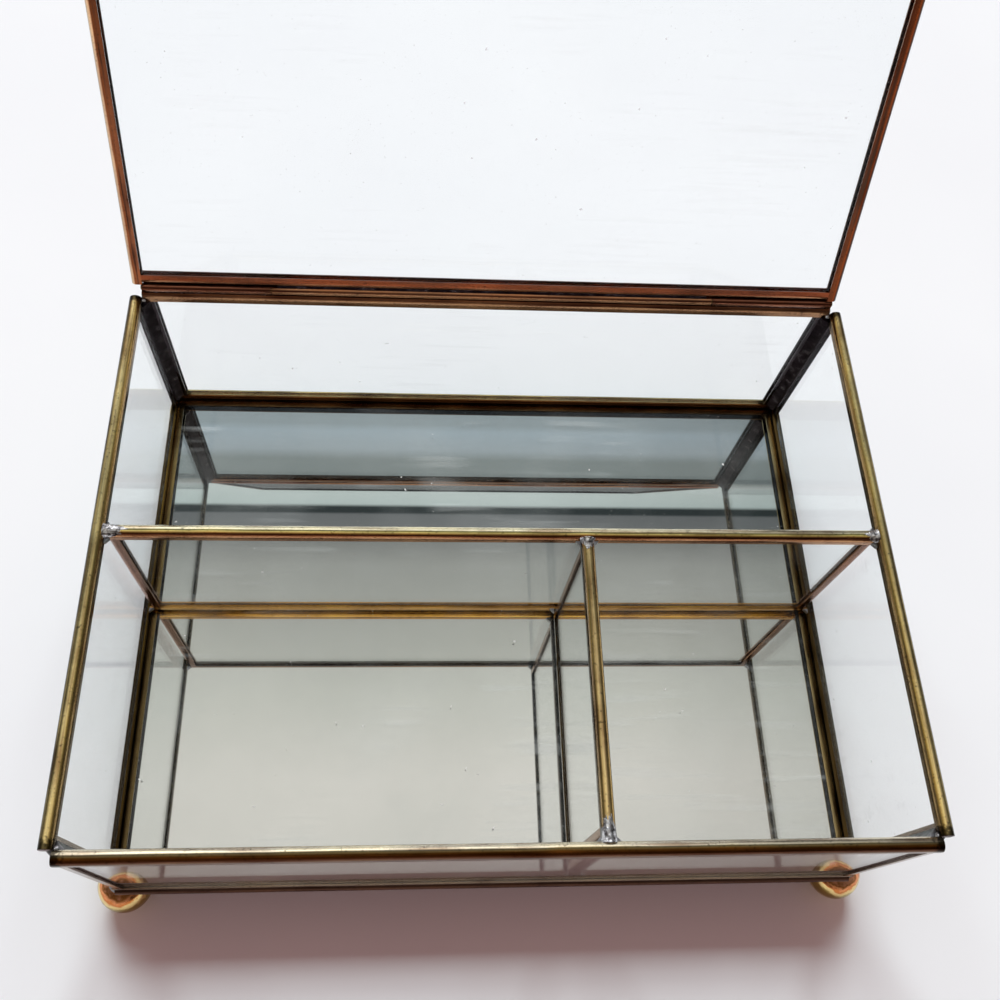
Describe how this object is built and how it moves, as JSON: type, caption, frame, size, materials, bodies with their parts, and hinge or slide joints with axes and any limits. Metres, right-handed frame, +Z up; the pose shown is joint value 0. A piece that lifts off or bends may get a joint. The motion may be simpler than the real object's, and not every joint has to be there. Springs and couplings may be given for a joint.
{
  "type": "glass casket box",
  "caption": "Rectangular glass box edged in brass channel, with a mirror base, glass dividers, ball feet and a hinged glass lid standing open.",
  "frame": {"origin": "on the table, under the middle of the case", "axes": "+X to the right seen from the front, +Y from the front wall towards the hinge, +Z up"},
  "size_m": [0.2098, 0.2155, 0.2135],
  "materials": {
    "clear_glass": "clear sheet glass, polished",
    "mirror_glass": "silvered glass, bright, slightly dusty",
    "aged_brass": "satin, aged olive-gold with red-brown patina in the corners",
    "lid_brass": "satin, aged red-brown",
    "hinge_rod": "drawn, dull",
    "polished_brass": "polished",
    "solder": "soft solder, dull silver-grey, uneven"
  },
  "bodies": {
    "box": {"front_pane": "clear_glass", "front_top_rail": "aged_brass", "front_bottom_rail": "aged_brass", "front_left_stile": "aged_brass", "front_right_stile": "aged_brass", "back_pane": "clear_glass", "back_top_rail": "aged_brass", "back_bottom_rail": "aged_brass", "back_left_stile": "aged_brass", "back_right_stile": "aged_brass", "left_pane": "clear_glass", "left_top_rail": "aged_brass", "left_bottom_rail": "aged_brass", "left_front_stile": "aged_brass", "left_back_stile": "aged_brass", "right_pane": "clear_glass", "right_top_rail": "aged_brass", "right_bottom_rail": "aged_brass", "right_front_stile": "aged_brass", "right_back_stile": "aged_brass", "base_mirror": "mirror_glass", "base_front_rail": "aged_brass", "base_back_rail": "aged_brass", "base_left_rail": "aged_brass", "base_right_rail": "aged_brass", "long_divider_pane": "clear_glass", "long_divider_top_rail": "aged_brass", "long_divider_bottom_rail": "aged_brass", "long_divider_left_stile": "aged_brass", "long_divider_right_stile": "aged_brass", "short_divider_pane": "clear_glass", "short_divider_top_rail": "aged_brass", "short_divider_bottom_rail": "aged_brass", "short_divider_back_stile": "aged_brass", "short_divider_front_stile": "aged_brass", "hinge_left_knuckle": "lid_brass", "hinge_right_knuckle": "lid_brass", "hinge_rod": "hinge_rod", "foot_front_left": "polished_brass", "foot_front_right": "polished_brass", "foot_back_left": "polished_brass", "foot_back_right": "polished_brass", "seam_front_left": "solder", "seam_front_right": "solder", "seam_back_left": "solder", "seam_back_right": "solder", "hinge_box_solder": "solder", "long_divider_solder": "solder", "short_divider_solder": "solder"},
    "lid": {"lid_pane": "clear_glass", "lid_left_rail": "lid_brass", "lid_right_rail": "lid_brass", "lid_hinge_rail": "lid_brass", "lid_front_rail": "lid_brass", "hinge_centre_knuckle": "lid_brass", "hinge_lid_solder": "solder"}
  },
  "joints": [
    {"name": "lid_hinge", "type": "hinge", "parent": "box", "child": "lid", "pos_m": [0, 0.0733, 0.0771], "axis": [1, 0, 0], "range_deg": [0, 114]}
  ]
}
